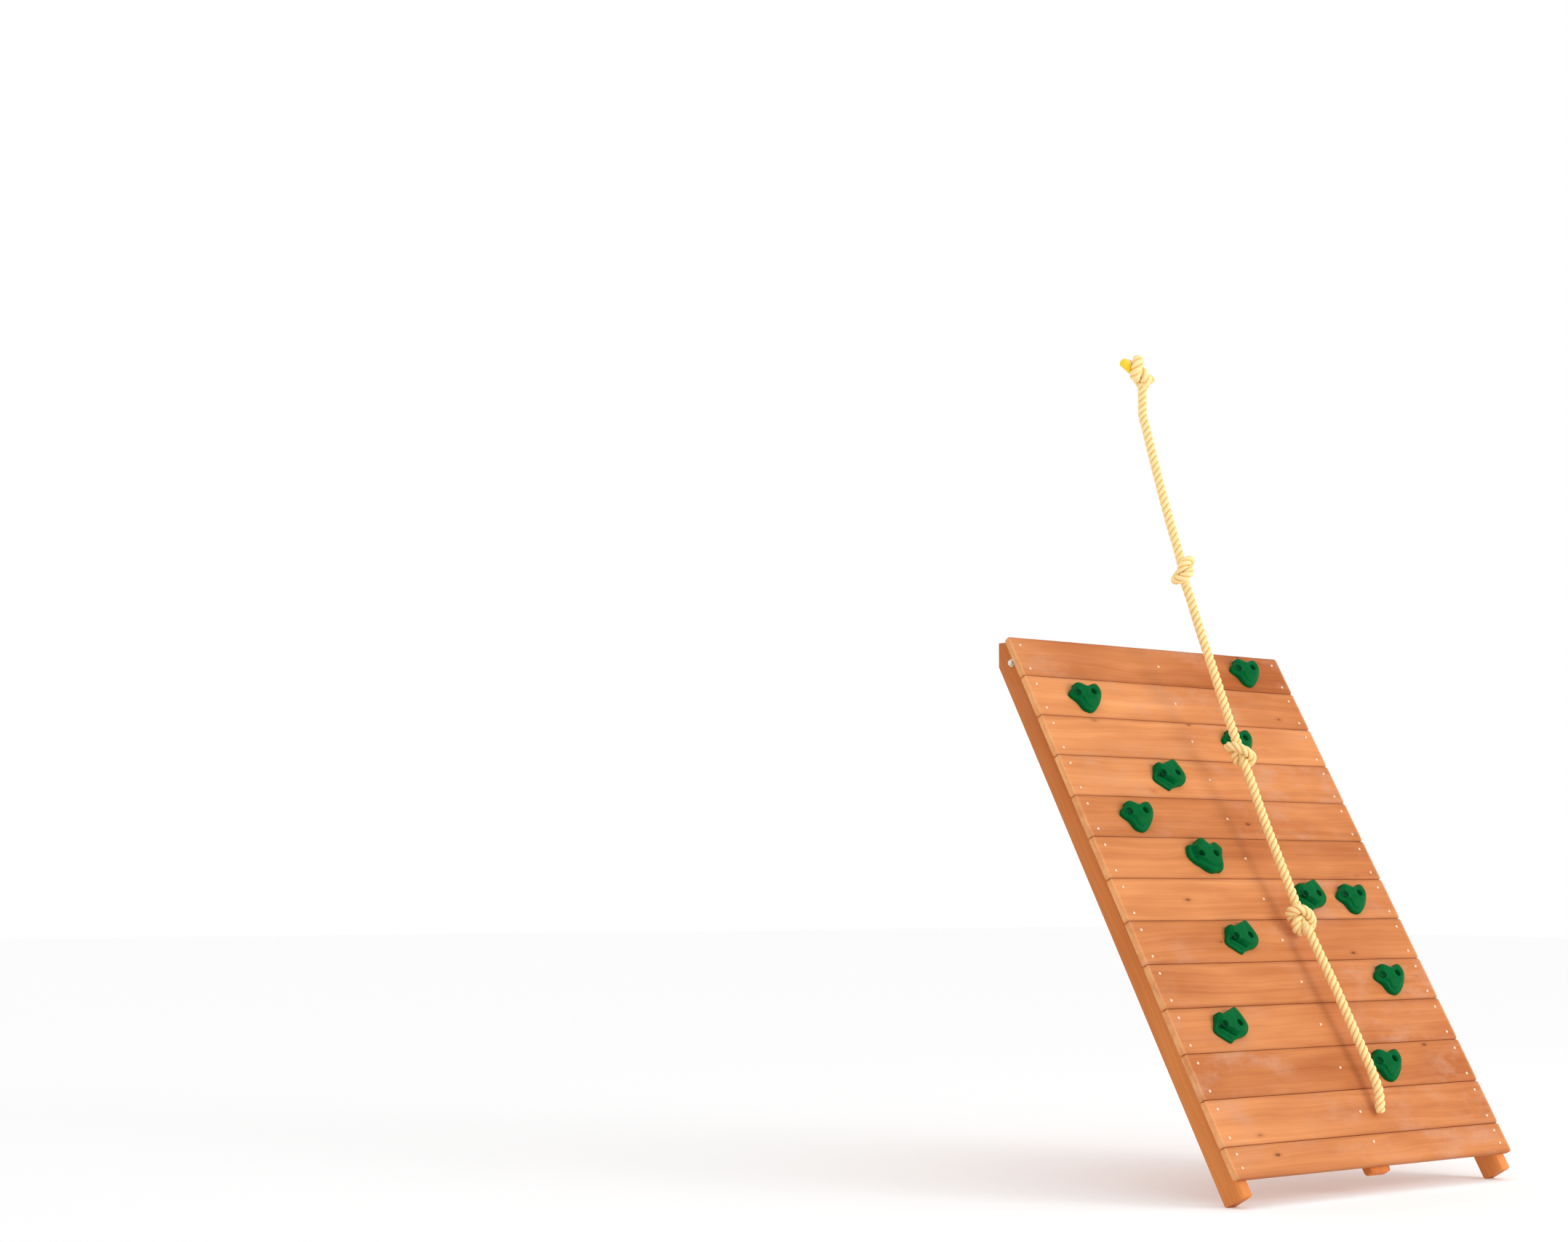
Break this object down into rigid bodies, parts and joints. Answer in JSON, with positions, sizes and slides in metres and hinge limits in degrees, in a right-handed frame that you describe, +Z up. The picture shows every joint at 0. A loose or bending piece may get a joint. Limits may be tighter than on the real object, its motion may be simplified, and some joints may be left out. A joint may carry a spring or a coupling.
{
  "type": "rock climbing wall",
  "caption": "Sloping plank climbing wall for a playset, with bolted moulded hand holds and a knotted climbing rope that hangs in front of it.",
  "frame": {"origin": "middle of the four rim bolt holes, on the face of the playset's rim board", "axes": "+Z up; +Y is the bolts' axis, level, from the wall into the playset; +X along the planks, to the right as a climber faces the wall"},
  "size_m": [1.22, 0.9585, 2.5579],
  "materials": {
    "plank_wood": "semi-transparent honey stain, satin, worn pale in the middle",
    "rafter_wood": "semi-transparent orange-brown stain, satin",
    "batten_wood": "semi-transparent stain, satin",
    "hold_plastic": "semi-gloss moulded plastic with a fine grain",
    "bolt_green": "green coated bolt heads",
    "screw_zinc": "dull zinc plate",
    "hardware_zinc": "bright zinc plate",
    "bracket_steel": "hot-dip galvanised",
    "rope_fibre": "twisted three-strand rope, soft and matt"
  },
  "bodies": {
    "root": {"stringer_left": "rafter_wood", "stringer_right": "rafter_wood", "centre_batten": "batten_wood", "plank_01": "plank_wood", "plank_02": "plank_wood", "plank_03": "plank_wood", "plank_04": "plank_wood", "plank_05": "plank_wood", "plank_06": "plank_wood", "plank_07": "plank_wood", "plank_08": "plank_wood", "plank_09": "plank_wood", "plank_10": "plank_wood", "plank_11": "plank_wood", "plank_12": "plank_wood", "plank_13": "plank_wood", "hold_01": "hold_plastic", "hold_02": "hold_plastic", "hold_03": "hold_plastic", "hold_04": "hold_plastic", "hold_05": "hold_plastic", "hold_06": "hold_plastic", "hold_07": "hold_plastic", "hold_08": "hold_plastic", "hold_09": "hold_plastic", "hold_10": "hold_plastic", "hold_11": "hold_plastic", "hold_12": "hold_plastic", "plank_screws": "screw_zinc", "hold_bolts": "bolt_green", "hold_tee_nuts": "hardware_zinc", "rim_bracket_left": "bracket_steel", "rim_bracket_right": "bracket_steel", "bracket_bolts": "hardware_zinc", "bracket_washers": "hardware_zinc", "bracket_nuts": "hardware_zinc", "rope_top_knot": "rope_fibre", "rope_neck": "rope_fibre"},
    "rope_fall": {"rope_run_1": "rope_fibre", "rope_run_2": "rope_fibre", "rope_run_3": "rope_fibre", "rope_run_4": "rope_fibre", "rope_knot_1": "rope_fibre", "rope_knot_2": "rope_fibre", "rope_knot_3": "rope_fibre"}
  },
  "joints": [
    {"name": "rope_swing", "type": "hinge", "parent": "root", "child": "rope_fall", "pos_m": [0.016, -0.031, 0.831], "axis": [-1, 0, 0], "range_deg": [0, 35]}
  ]
}
